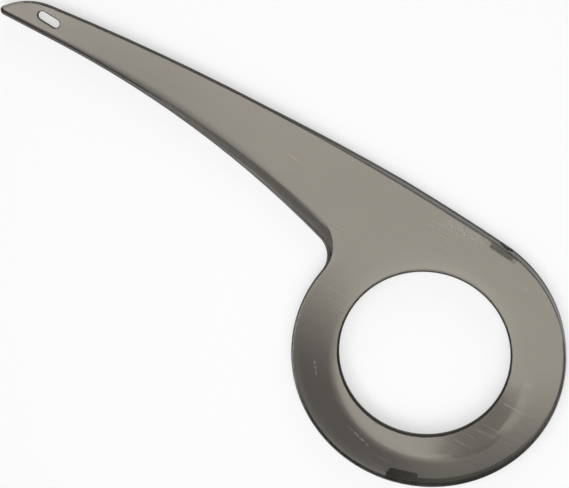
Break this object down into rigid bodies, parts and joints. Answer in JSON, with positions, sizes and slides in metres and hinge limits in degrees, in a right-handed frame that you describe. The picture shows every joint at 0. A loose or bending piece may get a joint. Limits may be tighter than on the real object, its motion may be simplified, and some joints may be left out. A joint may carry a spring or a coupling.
{
  "type": "bicycle chain guard",
  "caption": "One-piece smoked plastic shell: a dished ring over the chainring, open in the middle for the crank, and a long arm over the chain.",
  "frame": {"origin": "on the crank axis, in the plane of the wall's back edge, on which the guard lies", "axes": "+X forward along the arm's top edge, +Y up on the bicycle, +Z out from the bicycle along the crank axis"},
  "size_m": [0.4885, 0.2103, 0.019],
  "materials": {
    "smoked_plastic": "smooth moulded smoked polycarbonate, see-through and glossy, with fine handling scratches"
  },
  "bodies": {
    "root": {"chain_guard": "smoked_plastic"}
  },
  "joints": []
}
